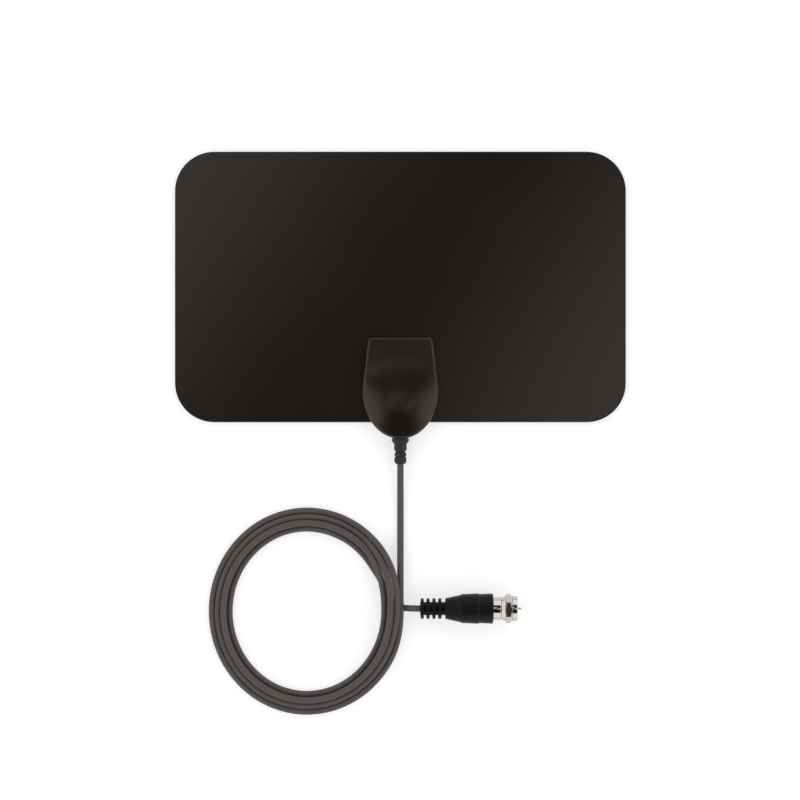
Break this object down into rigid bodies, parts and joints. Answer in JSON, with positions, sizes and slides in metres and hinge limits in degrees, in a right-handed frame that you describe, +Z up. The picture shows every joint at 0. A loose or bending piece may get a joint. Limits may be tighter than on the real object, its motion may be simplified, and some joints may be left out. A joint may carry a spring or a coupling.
{
  "type": "tv antenna",
  "caption": "Thin flat indoor television antenna with a moulded housing, a coiled coaxial lead and a screw-on F-type plug.",
  "frame": {"origin": "on the surface that the antenna lies on, under the middle of the sheet, housing and strain relief together", "axes": "+X along the sheet's long side, +Y towards the sheet's top edge, away from the cable, +Z up from the surface, out of the sheet's front face"},
  "size_m": [0.2, 0.2499, 0.0134],
  "materials": {
    "film": "satin black plastic film",
    "foil": "plain rolled foil",
    "housing": "fine spark-eroded grain, satin",
    "screw_steel": "zinc plated",
    "board": "green solder mask",
    "rivet_brass": "plain",
    "ferrite": "sintered, dull",
    "copper_wire": "enamelled copper",
    "chip": "ceramic",
    "solder": "bright",
    "relief": "moulded soft plastic",
    "jacket": "extruded grey soft plastic",
    "braid": "tinned copper strands",
    "dielectric": "translucent white plastic",
    "grip": "moulded soft black plastic",
    "nickel": "bright nickel plate",
    "insulator": "white plastic",
    "pin_plating": "plated brass"
  },
  "bodies": {
    "antenna": {"front_film": "film", "back_film": "film", "left_element": "foil", "right_element": "foil", "front_cover": "housing", "back_cover": "housing", "cover_screws": "screw_steel", "circuit_board": "board", "contact_rivets": "rivet_brass", "balun_core": "ferrite", "balun_winding": "copper_wire", "chip_parts": "chip", "solder_joints": "solder", "strain_relief": "relief", "cable_jacket": "jacket", "cable_braid": "braid", "cable_dielectric": "dielectric", "cable_core_wire": "copper_wire", "cord_lead": "jacket", "cord_coil": "jacket", "cord_tail": "jacket", "plug_grip": "grip", "connector_post": "nickel", "plug_insulator": "insulator", "centre_pin": "pin_plating"},
    "nut": {"coupling_nut": "nickel"}
  },
  "joints": [
    {"name": "nut_spin", "type": "hinge", "parent": "antenna", "child": "nut", "pos_m": [0.0481, -0.133, 0.0067], "axis": [1, 0, 0], "continuous": true}
  ]
}
